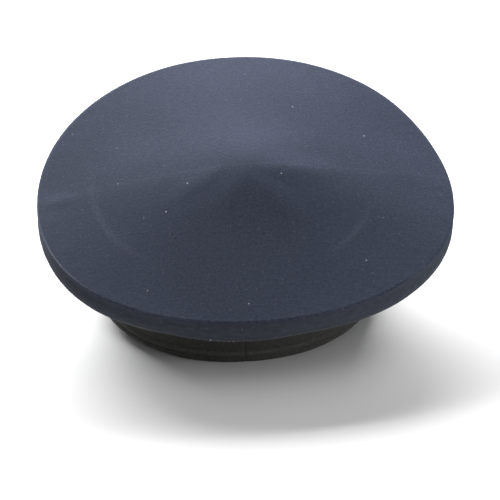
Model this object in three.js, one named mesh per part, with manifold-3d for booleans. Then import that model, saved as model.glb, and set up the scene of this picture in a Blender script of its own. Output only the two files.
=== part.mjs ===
// A peaked cap: a wide soft crown on a plain oval band, with a plain peak at the front.
// Millimetres, +Z up, the peak towards -Y and the wearer's left towards +X.
// The cap is drawn on the plane of its band's lower edge, then laid back as it rests on a table:
// on the back of the band and on the tip of the peak.

import * as THREE from 'three';
import { mergeVertices } from 'three/addons/utils/BufferGeometryUtils.js';
import Module from 'manifold-3d';

// Driving dimensions

const CLOTH = 2; // wall of the crown's pieces
const GAP = 0.3; // clearance between neighbouring pieces
const FACETS = 72; // sections around each ring

const BAND = { width: 174, length: 206, squareness: 2.05, height: 35, wall: 2.5 };

// The oval seam between the crown's top and its rim strip. It is higher at the front, and the soft
// crown leans a little forward and to the wearer's right.
const SEAM = {
  width: 256.5,
  length: 273,
  squareness: 2.1,
  forward: 5,
  toRight: 6.2,
  heightBack: 41.5,
  heightSide: 59,
  heightFront: 93.5,
};

// Places where the seam is pulled out of its oval or pushed in: direction and reach in degrees
const SEAM_PULLS = [
  { place: 'pushed in at the right front', at: -111, reach: 26, out: -1.4 },
  { place: 'pulled out at the right', at: -80, reach: 25, out: 1 },
  { place: 'pushed in at the left', at: 88, reach: 40, out: -0.6 },
];

// The top is cloth stretched across the seam and pushed up into a low tent by a rounded tip. The
// rounding is a part of the way to the edge, and the hollow makes the sides steeper near the tip.
const TENT = { left: -10.8, back: 0.5, rise: 15.5, rounding: 0.21, hollow: 0.32 };
const TOP_RINGS = 12; // rings of facets from the tent's tip to the edge fold
const FOLD_FADE = 6; // how late the folds fade out towards the edge

// Folds and dents of the top: place of the middle, half length, half width and rise in
// millimetres, and the turn of the length from the wearer's left towards the back in degrees
const TOP_FOLDS = [
  { fold: 'swell at the front', left: -13, back: -112, length: 125, width: 78, turn: -2, rise: 0.95 },
  { fold: 'swell at the near left', left: 37, back: 57, length: 117, width: 80, turn: 119, rise: 0.85 },
  { fold: 'left shoulder', left: 63, back: -8, length: 64, width: 30, turn: 97, rise: 0.48 },
  { fold: 'hollow on the left', left: 74, back: 21, length: 53, width: 40, turn: 30, rise: -0.35 },
  { fold: 'hollow on the right', left: -43, back: -12, length: 126, width: 41, turn: 106, rise: -0.75 },
  { fold: 'ridge on the right', left: -42, back: 1, length: 30, width: 23, turn: 2, rise: 0.65 },
  { fold: 'fold by the left edge', left: 110, back: -1, length: 16, width: 8, turn: -14, rise: 0.65 },
];

// Edge of the top, from its inner side over a crisp fold to the seam, beside the seam line
const EDGE_FOLD = [
  { out: -2.2, up: 1.7 },
  { out: -0.9, up: 1.36 },
  { out: -0.3, up: 0.92 },
  { out: 0, up: GAP / 2 },
];
const EDGE_FOLD_UNDERSIDE = [
  { out: -1.8, up: GAP / 2 },
  { out: -4.2, up: GAP / 2 },
];

// Outer face of the rim strip, from the seam over a shallow hollow and a swell to its lower edge,
// beside the seam line
const STRIP_FACE = [
  { out: -0.3, up: -GAP / 2 },
  { out: -0.9, up: -1.5 },
  { out: -1, up: -2.9 },
  { out: -0.3, up: -4.3 },
  { out: 0.4, up: -6.3 },
  { out: 0.1, up: -8.5 },
  { out: -1.3, up: -10.2 },
];

// The strip is taller at the sides, and where its ends meet near the back: direction and reach there
// are in degrees
const STRIP_TALLER = { atSides: 0.3, atEnds: 0.2, endsAt: 6, endsReach: 19 };

// Underside of the crown, from inside the strip's lower edge to a short neck on the band
const UNDER = { aboveStripEdge: 0.5, neck: 3, neckShoulder: 1.6, belly: 1.5, steps: 5 };

// Section of the band, as distances out from its outer face and heights above its lower edge
const BAND_SECTION = [
  { out: -0.5, up: BAND.height },
  { out: 0, up: BAND.height - 0.6 },
  { out: 0, up: 9.6 },
  { out: 0.6, up: 8.2 },
  { out: 0.6, up: 2.6 },
  { out: 0.1, up: 0.8 },
  { out: -0.6, up: 0 },
  { out: 0.5 - BAND.wall, up: 0 },
  { out: -BAND.wall, up: 0.8 },
  { out: -BAND.wall, up: BAND.height - 0.6 },
  { out: 0.5 - BAND.wall, up: BAND.height },
];
const BAND_FULLEST = Math.max(...BAND_SECTION.map((row) => row.out));

// Peak: a thin crescent that falls away from the band's lower edge
const PEAK = { halfSpan: 65, projection: 46, drop: 29, thickness: 2, endProjection: 4, rows: 6 };
const PEAK_PLAN = { bluntness: 2.2, fullness: 0.8 }; // outline of the crescent's front edge
const PEAK_DROP_FLATNESS = 2.5; // how level the front edge is across the middle
const PEAK_FORWARD_SWEEP = 0.5; // share of straight ahead in the direction of its sides
const PEAK_CURL = 1.2; // how much more it falls towards the front edge, 1 is straight

const FLATTENED = 0.6; // the band's cloth is pressed flat by this much where it rests
const TABLE = { side: 600, depth: 60 }; // block that presses the band flat

const NAVY_CLOTH = { color: 0x2c3040, roughness: 0.9, metalness: 0 };
const BLACK_CLOTH = { color: 0x1b1b1d, roughness: 0.85, metalness: 0 };
const BLACK_LEATHER = { color: 0x0d0d0e, roughness: 0.3, metalness: 0 };

const wasm = await Module();
wasm.setup();

// Curves that the pieces share

const radians = THREE.MathUtils.degToRad;

/** Angles around the cap: 0 is the back, a quarter turn is the wearer's left. */
function anglesAround() {
  return Array.from({ length: FACETS }, (_, step) => (step / FACETS) * 2 * Math.PI);
}

/** Turn in degrees, either way, between an angle round the cap and a direction in degrees. */
function turnFrom(angle, direction) {
  const turn = THREE.MathUtils.euclideanModulo(THREE.MathUtils.radToDeg(angle) - direction, 360);
  return Math.min(turn, 360 - turn);
}

/** Smooth bump that is 1 at its centre and 0 from a distance of 1 outwards. */
function bump(distance) {
  return (1 - Math.min(distance, 1) ** 2) ** 2;
}

/** Plan point and outward direction of an oval at an angle. */
function oval(angle, { width, length, squareness }) {
  const across = Math.sin(angle);
  const along = Math.cos(angle);
  const bend = 2 / squareness;
  const x = (Math.sign(across) * Math.abs(across) ** bend * width) / 2;
  const y = (Math.sign(along) * Math.abs(along) ** bend * length) / 2;
  const lean = 2 - bend;
  const outward = new THREE.Vector2(
    (Math.sign(across) * Math.abs(across) ** lean) / width,
    (Math.sign(along) * Math.abs(along) ** lean) / length,
  ).normalize();
  return { x, y, outward };
}

/** Height of a cloth stretched across the crown's seam: part 0 is its middle and 1 the seam. */
function tautHeight(angle, part = 1) {
  const { heightBack, heightSide, heightFront } = SEAM;
  const level = (heightBack + 2 * heightSide + heightFront) / 4;
  const slope = (heightBack - heightFront) / 2;
  const saddle = (heightBack - 2 * heightSide + heightFront) / 4;
  return level + slope * part * Math.cos(angle) + saddle * part ** 2 * Math.cos(2 * angle);
}

/** How far the seam lies out of its oval at an angle. */
function seamPull(angle) {
  let pull = 0;
  for (const { at, reach, out } of SEAM_PULLS) pull += out * bump(turnFrom(angle, at) / reach);
  return pull;
}

/** Point beside the crown's seam, so far out in plan and so far up. */
function besideSeam(angle, { out, up }) {
  const { x, y, outward } = oval(angle, SEAM);
  const away = out + seamPull(angle);
  return new THREE.Vector3(
    x - SEAM.toRight + outward.x * away,
    y - SEAM.forward + outward.y * away,
    tautHeight(angle) + up,
  );
}

/** Point beside the band's outer face, so far out in plan and so far up. */
function besideBand(angle, { out, up }) {
  const { x, y, outward } = oval(angle, BAND);
  return new THREE.Vector3(x + outward.x * out, y + outward.y * out, up);
}

// Making solids

/** Closed body from sections that are joined one to the next, with no loose or doubled faces. */
function bodyFromTriangles(points, triangles) {
  const loose = new THREE.BufferGeometry().setFromPoints(points);
  loose.setIndex(triangles.flat());
  const joined = mergeVertices(loose);
  const corners = joined.index.array;
  const kept = [];
  for (let first = 0; first < corners.length; first += 3) {
    const [a, b, c] = corners.subarray(first, first + 3);
    if (a !== b && b !== c && c !== a) kept.push(a, b, c);
  }
  joined.setIndex(kept);
  return joined;
}

/** Joins a row of sections; each is a closed loop unless it runs from pole to pole. */
function sweep(sections, { aroundTheCap, closedLoop }) {
  const count = sections[0].length;
  const sectionSteps = aroundTheCap ? sections.length : sections.length - 1;
  const pointSteps = closedLoop ? count : count - 1;
  const at = (section, point) => (section % sections.length) * count + (point % count);
  const triangles = [];
  for (let section = 0; section < sectionSteps; section += 1) {
    for (let point = 0; point < pointSteps; point += 1) {
      const here = at(section, point);
      const below = at(section, point + 1);
      const beside = at(section + 1, point);
      const across = at(section + 1, point + 1);
      triangles.push([here, across, below], [here, beside, across]);
    }
  }
  if (!aroundTheCap) {
    const last = sections.length - 1;
    for (let point = 1; point < count - 1; point += 1) {
      triangles.push([at(0, 0), at(0, point), at(0, point + 1)]);
      triangles.push([at(last, 0), at(last, point + 1), at(last, point)]);
    }
  }
  return bodyFromTriangles(sections.flat(), triangles);
}

function toSolid(geometry) {
  const mesh = { numProp: 3 };
  mesh.vertProperties = new Float32Array(geometry.attributes.position.array);
  mesh.triVerts = new Uint32Array(geometry.index.array);
  return new wasm.Manifold(new wasm.Mesh(mesh));
}

function fromSolid(solid) {
  const { vertProperties, triVerts } = solid.getMesh();
  const geometry = new THREE.BufferGeometry();
  geometry.setAttribute('position', new THREE.BufferAttribute(vertProperties, 3));
  geometry.setIndex(new THREE.BufferAttribute(triVerts, 1));
  return geometry;
}

function piece(name, geometry, finish) {
  geometry.computeVertexNormals();
  const mesh = new THREE.Mesh(geometry, new THREE.MeshStandardMaterial(finish));
  mesh.name = name;
  return mesh;
}

// Crown

/** Height that the folds and dents add to the top at a place in plan. */
function foldHeight(left, back) {
  let height = 0;
  for (const fold of TOP_FOLDS) {
    const away = new THREE.Vector2(left - fold.left, back - fold.back);
    away.rotateAround(new THREE.Vector2(), -radians(fold.turn));
    height += fold.rise * bump(Math.hypot(away.x / fold.length, away.y / fold.width));
  }
  return height;
}

/** Point of the top's upper face: part 0 is the tent's tip and 1 the inner side of the edge fold. */
function topPoint(angle, part) {
  const { rise, rounding, hollow } = TENT;
  const edge = besideSeam(angle, EDGE_FOLD[0]);
  const left = THREE.MathUtils.lerp(TENT.left, edge.x, part);
  const back = THREE.MathUtils.lerp(TENT.back, edge.y, part);
  const fromTip = (Math.hypot(part, rounding) - rounding) / (Math.hypot(1, rounding) - rounding);
  const toEdge = 1 - fromTip;
  const tent = (rise * (toEdge + hollow * toEdge ** 2)) / (1 + hollow);
  const folds = foldHeight(left, back) * (1 - part ** FOLD_FADE);
  return new THREE.Vector3(left, back, EDGE_FOLD[0].up + tautHeight(angle, part) + tent + folds);
}

/** The oval top: upper face out from the tip, over the edge fold, and back along the underside. */
function crownTop() {
  const inward = Array.from({ length: TOP_RINGS }, (_, ring) => ring / TOP_RINGS);
  const sections = anglesAround().map((angle) => {
    const upperFace = inward.map((part) => topPoint(angle, part));
    const fold = EDGE_FOLD.map((row) => besideSeam(angle, row));
    const foldUnderside = EDGE_FOLD_UNDERSIDE.map((row) => besideSeam(angle, row));
    const underside = upperFace.map((point) => point.clone().setZ(point.z - CLOTH)).reverse();
    return [...upperFace, ...fold, ...foldUnderside, ...underside];
  });
  return sweep(sections, { aroundTheCap: true, closedLoop: false });
}

/** Row of the strip's section at an angle round the cap. */
function stripRow(angle, { out, up }) {
  const { atSides, atEnds, endsAt, endsReach } = STRIP_TALLER;
  const taller = atSides * Math.sin(angle) ** 2 + atEnds * bump(turnFrom(angle, endsAt) / endsReach);
  return { out, up: up * (1 + taller) };
}

/** The upright strip round the crown's rim. */
function rimStrip() {
  const innerFace = STRIP_FACE.map(({ out, up }) => ({ out: out - CLOTH, up })).reverse();
  const loop = [...STRIP_FACE, ...innerFace];
  const sections = anglesAround().map((angle) => (
    loop.map((row) => besideSeam(angle, stripRow(angle, row)))
  ));
  return sweep(sections, { aroundTheCap: true, closedLoop: true });
}

/** The crown's underside, from the strip's lower edge to a short neck on the band. */
function crownUnderside() {
  const neckFoot = BAND.height + GAP;
  const neckTop = neckFoot + UNDER.neck;
  const sections = anglesAround().map((angle) => {
    const stripEdge = stripRow(angle, STRIP_FACE.at(-1));
    const start = besideSeam(angle, {
      out: stripEdge.out - CLOTH - GAP,
      up: stripEdge.up + UNDER.aboveStripEdge,
    });
    const end = besideBand(angle, { out: 0, up: neckTop });
    const run = Math.hypot(end.x - start.x, end.y - start.y);
    const steepness = Math.hypot(run, end.z - start.z) / run;
    const lowerFace = [];
    for (let step = 0; step <= UNDER.steps; step += 1) {
      const part = step / UNDER.steps;
      const point = new THREE.Vector3().lerpVectors(start, end, part);
      point.z -= UNDER.belly * Math.sin(Math.PI * part);
      lowerFace.push(point);
    }
    const upperFace = lowerFace.slice(0, -1).reverse();
    const raised = upperFace.map((point) => point.clone().setZ(point.z + CLOTH * steepness));
    return [
      ...lowerFace,
      besideBand(angle, { out: 0, up: neckFoot }),
      besideBand(angle, { out: -CLOTH, up: neckFoot }),
      besideBand(angle, { out: -CLOTH, up: neckTop + UNDER.neckShoulder }),
      ...raised,
    ];
  });
  return sweep(sections, { aroundTheCap: true, closedLoop: true });
}

// Band and peak

function bandRing() {
  const sections = anglesAround().map((angle) => BAND_SECTION.map((row) => besideBand(angle, row)));
  return sweep(sections, { aroundTheCap: true, closedLoop: true });
}

/** Point of the peak's lower face: side runs from -1 to 1, part from the band to the front edge. */
function peakPoint(side, part) {
  const angle = Math.PI + side * radians(PEAK.halfSpan);
  const start = besideBand(angle, { out: BAND_FULLEST + GAP, up: 0 });
  const { outward } = oval(angle, BAND);
  const ahead = new THREE.Vector2(0, -1);
  const direction = outward.lerp(ahead, PEAK_FORWARD_SWEEP).normalize();
  const taper = (1 - Math.abs(side) ** PEAK_PLAN.bluntness) ** PEAK_PLAN.fullness;
  const reach = PEAK.endProjection + (PEAK.projection - PEAK.endProjection) * taper;
  const fall = PEAK.drop * (1 - Math.abs(side) ** PEAK_DROP_FLATNESS);
  return start.add(new THREE.Vector3(
    direction.x * reach * part,
    direction.y * reach * part,
    -fall * part ** PEAK_CURL,
  ));
}

/** Places of the peak's sections, from -1 at one end to 1 at the other, one for each facet. */
function peakSides() {
  const steps = Math.round((2 * PEAK.halfSpan) / (360 / FACETS));
  return Array.from({ length: steps + 1 }, (_, step) => (2 * step) / steps - 1);
}

function peakPlate() {
  const parts = Array.from({ length: PEAK.rows + 1 }, (_, row) => row / PEAK.rows);
  const sections = peakSides().map((side) => {
    const lowerFace = parts.map((part) => peakPoint(side, part));
    const upperFace = lowerFace.map((point) => point.clone().setZ(point.z + PEAK.thickness));
    return [...upperFace, ...lowerFace.reverse()];
  });
  return sweep(sections, { aroundTheCap: false, closedLoop: true });
}

// Resting on a table

/** Tilt at which the front edge of the peak meets a table that the back of the band lies on. */
function restTilt() {
  const heel = BAND.length / 2;
  const frontEdge = peakSides().map((side) => peakPoint(side, 1));
  return Math.max(...frontEdge.map(({ y, z }) => Math.atan2(FLATTENED - z, heel - y)));
}

/** The band with its cloth pressed flat where its back lies on the table. */
function restingBand(tilt) {
  const table = new THREE.BoxGeometry(TABLE.side, TABLE.side, TABLE.depth);
  table.deleteAttribute('normal');
  table.deleteAttribute('uv');
  table.translate(0, 0, FLATTENED * Math.cos(tilt) - TABLE.depth / 2);
  table.rotateX(tilt);
  const heelDrop = (BAND.length / 2) * Math.tan(tilt);
  table.translate(0, 0, -heelDrop);
  return fromSolid(toSolid(bandRing()).subtract(toSolid(mergeVertices(table))));
}

const tilt = restTilt();
const cap = new THREE.Group();
cap.rotation.x = -tilt;
cap.add(piece('crown_top', crownTop(), NAVY_CLOTH));
cap.add(piece('crown_rim', rimStrip(), NAVY_CLOTH));
cap.add(piece('crown_under', crownUnderside(), NAVY_CLOTH));
cap.add(piece('band', restingBand(tilt), BLACK_CLOTH));
cap.add(piece('peak', peakPlate(), BLACK_LEATHER));

// The part's origin is in the middle of its box, on the table.
const part = new THREE.Group();
part.add(cap);
part.updateMatrixWorld(true);
const box = new THREE.Box3().setFromObject(part, true);
const middle = box.getCenter(new THREE.Vector3());
cap.position.set(-middle.x, -middle.y, -box.min.z);
part.updateMatrixWorld(true);

export default part;
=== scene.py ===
"""Dresses a packed peaked cap: soft navy crown, upright rim strip, black band and plain black peak.

The cap's own sizes are in millimetres, on the plane of its band's lower edge: the back is towards +Y and
the wearer's left towards +X. RestPose lays each mesh back onto the floor of the shared frame, in metres.
"""

from __future__ import annotations

import logging
import math
from dataclasses import dataclass, field, replace
from enum import Enum

import bmesh
import bpy
import numpy as np
from mathutils import Matrix, Vector


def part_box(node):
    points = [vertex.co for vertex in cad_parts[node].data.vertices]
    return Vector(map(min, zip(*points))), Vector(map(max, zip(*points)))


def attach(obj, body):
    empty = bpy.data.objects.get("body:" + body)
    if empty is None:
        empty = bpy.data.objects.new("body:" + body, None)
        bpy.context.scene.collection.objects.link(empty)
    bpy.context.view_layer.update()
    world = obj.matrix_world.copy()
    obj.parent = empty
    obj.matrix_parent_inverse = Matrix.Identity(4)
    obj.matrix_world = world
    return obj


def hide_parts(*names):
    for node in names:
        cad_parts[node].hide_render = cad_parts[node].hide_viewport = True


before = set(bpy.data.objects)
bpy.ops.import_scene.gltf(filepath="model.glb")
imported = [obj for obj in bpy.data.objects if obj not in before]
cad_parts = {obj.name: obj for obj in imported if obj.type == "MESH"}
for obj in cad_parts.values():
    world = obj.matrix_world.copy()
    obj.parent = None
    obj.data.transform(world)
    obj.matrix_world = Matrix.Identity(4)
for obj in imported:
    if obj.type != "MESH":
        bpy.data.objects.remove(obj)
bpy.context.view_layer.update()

MM = 0.001
BODY = "root"
CLOTH_MAP = "cloth"
# Mesh value for paler marks: abrasion on the crown's crisp edge, and painted highlights on the ring's arcs,
# the strip's lower edge and the band's welt.
WEAR_AND_HIGHLIGHT = "wear_and_highlight"
IMAGE_SIDE = 500.0
FULL_TURN = 2.0 * math.pi

GAP = 0.3
CLOTH = 2.0
BAND_HEIGHT = 35.0
BAND_ROUNDING = 0.6
BAND_SHOULDER = BAND_HEIGHT - BAND_ROUNDING
FLATTENED = 0.6

log = logging.getLogger("peaked_cap")


class Slot(Enum):
    """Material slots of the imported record."""

    CROWN = "crown_cloth"
    BAND = "band_cloth"
    PEAK = "peak_leather"


class Ends(Enum):
    """How the sections of a swept mesh close."""

    LOOP = "each section is a closed loop"
    POLES = "each section runs from one shared point to another"
    CAPPED = "the row of sections is open, and its first and last loops are filled"


@dataclass(frozen=True)
class Row:
    """One point of a section: distance out in plan and height, both in millimetres."""

    out: float
    up: float


def bump(distance: np.ndarray) -> np.ndarray:
    """Smooth bump that is 1 at its centre and 0 from a distance of 1 outwards."""
    return (1.0 - np.clip(np.abs(distance), 0.0, 1.0) ** 2) ** 2


def turn_from(angle: np.ndarray, toward: float) -> np.ndarray:
    """Signed turn in degrees from a direction in degrees to angles in radians."""
    return (np.degrees(angle) - toward + 180.0) % 360.0 - 180.0


def columns(rows: tuple[Row, ...]) -> tuple[np.ndarray, np.ndarray]:
    """Distances out and heights of rows, as two arrays that spread along a section."""
    return np.array([row.out for row in rows])[None, :], np.array([row.up for row in rows])[None, :]


def smooth_rows(rows: tuple[Row, ...], per_span: int) -> tuple[Row, ...]:
    """Rows along a smooth curve through the given ones.

    Args:
        rows: Points that the curve passes through.
        per_span: Points made for each span.

    Returns:
        The finer rows, with both ends kept.
    """
    points = np.array([(row.out, row.up) for row in rows])
    padded = np.vstack([2 * points[0] - points[1], points, 2 * points[-1] - points[-2]])
    found = []
    for span in range(len(points) - 1):
        before, start, end, after = padded[span : span + 4]
        for step in range(per_span):
            t = step / per_span
            along = 2 * start + (end - before) * t
            along = along + (2 * before - 5 * start + 4 * end - after) * t**2
            along = along + (3 * start - before - 3 * end + after) * t**3
            found.append(Row(*(along / 2)))
    return (*found, rows[-1])


def around(count: int) -> np.ndarray:
    """Evenly spread directions round the cap, one for each section, as a column."""
    return (np.arange(count) * (FULL_TURN / count))[:, None]


@dataclass(frozen=True)
class Ripple:
    """An uneven ripple round the cap, from a few seeded waves.

    It has a size, the whole numbers of waves round the cap, the seed of their strengths and phases, and the
    least strength of a wave.
    """

    size: float
    waves: tuple[int, ...]
    seed: int
    least: float = 0.5

    def at(self, angle: np.ndarray) -> np.ndarray:
        """The ripple round the cap.

        Args:
            angle: Directions in radians.

        Returns:
            The ripple at each of them.
        """
        draw = np.random.RandomState(self.seed)
        total = np.zeros_like(angle)
        for count in self.waves:
            strength, phase = draw.uniform(self.least, 1.0), draw.uniform(0, FULL_TURN)
            total = total + strength * np.sin(count * angle + phase)
        return self.size * (total / math.sqrt(len(self.waves)))


@dataclass(frozen=True)
class Patch:
    """A patch round the cap: its direction and reach in degrees, and its strength in the middle."""

    toward: float
    reach: float
    strength: float = 1.0

    def at(self, angle: np.ndarray) -> np.ndarray:
        """Strength at directions in radians, which fades to 0 at the patch's reach."""
        return self.strength * bump(turn_from(angle, self.toward) / self.reach)


@dataclass(frozen=True)
class Oval:
    """Oval in plan; angle 0 is the back and a quarter turn the wearer's left."""

    width: float
    length: float
    squareness: float

    def plan(self, angle: np.ndarray) -> tuple[np.ndarray, np.ndarray]:
        """Places on the oval.

        Args:
            angle: Directions round the cap.

        Returns:
            Places across and along.
        """
        bend = 2.0 / self.squareness
        across, along = np.sin(angle), np.cos(angle)
        x = np.sign(across) * np.abs(across) ** bend * self.width / 2
        y = np.sign(along) * np.abs(along) ** bend * self.length / 2
        return x, y

    def outward(self, angle: np.ndarray) -> tuple[np.ndarray, np.ndarray]:
        """Outward directions in plan.

        Args:
            angle: Directions round the cap.

        Returns:
            Parts across and along of unit directions.
        """
        lean = 2.0 - 2.0 / self.squareness
        across, along = np.sin(angle), np.cos(angle)
        x = np.sign(across) * np.abs(across) ** lean / self.width
        y = np.sign(along) * np.abs(along) ** lean / self.length
        long = np.hypot(x, y)
        return x / long, y / long

    def share(self, x: np.ndarray, y: np.ndarray) -> np.ndarray:
        """How far out plan places lie.

        Args:
            x: Places across.
            y: Places along.

        Returns:
            0 in the middle and 1 on the oval.
        """
        across = np.abs(2 * x / self.width) ** self.squareness
        along = np.abs(2 * y / self.length) ** self.squareness
        return (across + along) ** (1.0 / self.squareness)

    def beside(self, angle: np.ndarray, out: np.ndarray, up: np.ndarray) -> np.ndarray:
        """Points beside the oval.

        Args:
            angle: Directions round the cap.
            out: Distances out from the oval in plan.
            up: Heights.

        Returns:
            Points of the cap, in millimetres.
        """
        x, y = self.plan(angle)
        away_x, away_y = self.outward(angle)
        return np.stack(np.broadcast_arrays(x + away_x * out, y + away_y * out, up), -1)


@dataclass(frozen=True)
class Seam:
    """The oval seam between the crown's top and its rim strip, higher at the front.

    The pulls are patches where it leaves its oval, by so many millimetres out.
    """

    oval: Oval = Oval(256.5, 273.0, 2.1)
    forward: float = 5.0
    to_right: float = 6.2
    height_back: float = 41.5
    height_side: float = 59.0
    height_front: float = 93.5
    pulls: tuple[Patch, ...] = (
        Patch(-111.0, 26.0, -1.4),
        Patch(-80.0, 25.0, 0.7),
        Patch(-62.0, 22.0, 1.5),
        Patch(88.0, 40.0, -0.6),
    )

    def taut(self, angle: np.ndarray, part: np.ndarray | float = 1.0) -> np.ndarray:
        """Heights of a cloth stretched across the seam.

        Args:
            angle: Directions round the cap.
            part: Parts of the way from the middle to the seam.

        Returns:
            Heights in millimetres.
        """
        level = (self.height_back + 2 * self.height_side + self.height_front) / 4
        slope = (self.height_back - self.height_front) / 2
        saddle = (self.height_back - 2 * self.height_side + self.height_front) / 4
        return level + slope * part * np.cos(angle) + saddle * part**2 * np.cos(2 * angle)

    def beside(self, angle: np.ndarray, out: np.ndarray, up: np.ndarray) -> np.ndarray:
        """Points beside the seam.

        Args:
            angle: Directions round the cap.
            out: Distances out from the seam in plan.
            up: Heights above the seam.

        Returns:
            Points of the cap, in millimetres.
        """
        away = out + sum(pull.at(angle) for pull in self.pulls)
        points = self.oval.beside(angle, away, self.taut(angle) + up)
        return points - np.array([self.to_right, self.forward, 0.0])


SEAM = Seam()
BAND_OVAL = Oval(174.0, 206.0, 2.05)


@dataclass(frozen=True)
class RestPose:
    """Places the cap on the floor, on the back of its band and the tip of its peak."""

    tilt: float
    shift: tuple[float, float, float]

    @staticmethod
    def found(front_edge: np.ndarray) -> RestPose:
        """Finds the pose from the cap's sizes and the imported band's place.

        Args:
            front_edge: Points of the peak's lower front edge.

        Returns:
            The pose.
        """
        heel = BAND_OVAL.length / 2
        tilt = float(np.max(np.arctan2(FLATTENED - front_edge[:, 2], heel - front_edge[:, 1])))
        low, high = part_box("band")
        rear = heel * math.cos(tilt) + BAND_SHOULDER * math.sin(tilt)
        lift = heel * math.sin(tilt) - FLATTENED * math.cos(tilt)
        return RestPose(tilt, ((low.x + high.x) / 2, high.y - rear * MM, lift * MM))

    def matrix(self) -> Matrix:
        """Turn and shift from the cap's millimetres to the frame's metres."""
        turn = Matrix.Rotation(-self.tilt, 4, "X") @ Matrix.Scale(MM, 4)
        return Matrix.Translation(Vector(self.shift)) @ turn

    def place(self, points: np.ndarray) -> np.ndarray:
        """Lays points of the cap in the frame.

        Args:
            points: Points of the cap, in millimetres.

        Returns:
            Points of the frame in metres, with none below the floor.
        """
        matrix = np.array(self.matrix())
        placed = points @ matrix[:3, :3].T + matrix[:3, 3]
        placed[..., 2] = np.maximum(placed[..., 2], 0.0)
        return placed


def linked(name: str, data: bpy.types.ID) -> bpy.types.Object:
    """Adds an object to the scene.

    Args:
        name: Its name.
        data: Its mesh, light or camera.

    Returns:
        The object.
    """
    made = bpy.data.objects.new(name, data)
    bpy.context.scene.collection.objects.link(made)
    return made


@dataclass
class SweptMesh:
    """A smooth closed mesh from a row of sections, with a flat cloth map in metres and a value for abrasion
    and painted highlight.
    """

    name: str
    points: np.ndarray
    flat: np.ndarray
    ends: Ends
    wear_and_highlight: np.ndarray | float = 0.0

    def corners(self) -> np.ndarray:
        """Corners of the faces between neighbouring sections.

        Returns:
            Section and point numbers of the four corners of each face.
        """
        sections, count = self.points.shape[:2]
        rows = sections - 1 if self.ends is Ends.CAPPED else sections
        steps = count - 1 if self.ends is Ends.POLES else count
        section, point = (part.ravel() for part in np.meshgrid(range(rows), range(steps), indexing="ij"))
        walk = [(section, point), (section + 1, point), (section + 1, point + 1), (section, point + 1)]
        return np.stack([np.stack(corner, -1) for corner in walk], 1)

    def build(self) -> bpy.types.Object:
        """Makes the object.

        Returns:
            The linked mesh object.
        """
        sections, count = self.points.shape[:2]
        corners = self.corners()
        number_of = np.arange(sections * count).reshape(sections, count)
        if self.ends is Ends.POLES:
            number_of[:, 0], number_of[:, -1] = 0, count - 1
        numbers = number_of[corners[..., 0] % sections, corners[..., 1] % count]
        flat = self.flat[corners[..., 0], corners[..., 1]]
        faces, flat_corners = [], []
        for face, places in zip(numbers.tolist(), flat.tolist()):
            kept = [i for i in range(4) if face[i] != face[i - 1]]
            faces.append([face[i] for i in kept])
            flat_corners.extend(places[i] for i in kept)
        if self.ends is Ends.CAPPED:
            for cap in (number_of[0].tolist(), number_of[-1, ::-1].tolist()):
                faces.append(cap)
                flat_corners.extend([0.0, 0.0] for _ in cap)
        mesh = bpy.data.meshes.new(self.name)
        mesh.from_pydata(self.points.reshape(-1, 3).tolist(), [], faces)
        layer = mesh.uv_layers.new(name=CLOTH_MAP)
        layer.data.foreach_set("uv", np.array(flat_corners, np.float32).ravel())
        wear_and_highlight = np.array(np.broadcast_to(self.wear_and_highlight, (sections, count)), np.float32)
        mesh.attributes.new(WEAR_AND_HIGHLIGHT, "FLOAT", "POINT").data.foreach_set("value", wear_and_highlight.ravel())
        self.drop_loose(mesh)
        mesh.polygons.foreach_set("use_smooth", np.ones(len(mesh.polygons), bool))
        mesh.update()
        return linked(self.name, mesh)

    @staticmethod
    def drop_loose(mesh: bpy.types.Mesh) -> None:
        """Deletes the doubles of a pole, which no face uses.

        Args:
            mesh: Mesh to clean.
        """
        work = bmesh.new()
        work.from_mesh(mesh)
        bmesh.ops.delete(work, geom=[v for v in work.verts if not v.link_faces], context="VERTS")
        work.to_mesh(mesh)
        work.free()


def flat_map(points: np.ndarray, closed_loop: bool, around_the_cap: bool) -> np.ndarray:
    """Flat cloth map of a row of sections: length round the cap and length along the section.

    Args:
        points: Points by section and place in the section, in metres.
        closed_loop: Whether each section closes on itself.
        around_the_cap: Whether the last section meets the first.

    Returns:
        Map places in metres, with one more section or place where the mesh closes.
    """
    if around_the_cap:
        points = np.concatenate([points, points[:1]], 0)
    if closed_loop:
        points = np.concatenate([points, points[:, :1]], 1)
    # The outer face is the first half of each section, so its middle is a quarter of the way along.
    middle = points[:, points.shape[1] // 4]
    along = np.concatenate([[0.0], np.cumsum(np.linalg.norm(np.diff(middle, axis=0), axis=1))])
    steps = np.linalg.norm(np.diff(points, axis=1), axis=2).mean(0)
    across = np.concatenate([[0.0], np.cumsum(steps)])
    return np.stack(np.meshgrid(along, across, indexing="ij"), -1)


Colour = tuple[float, float, float, float]
Socket = bpy.types.NodeSocket


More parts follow.
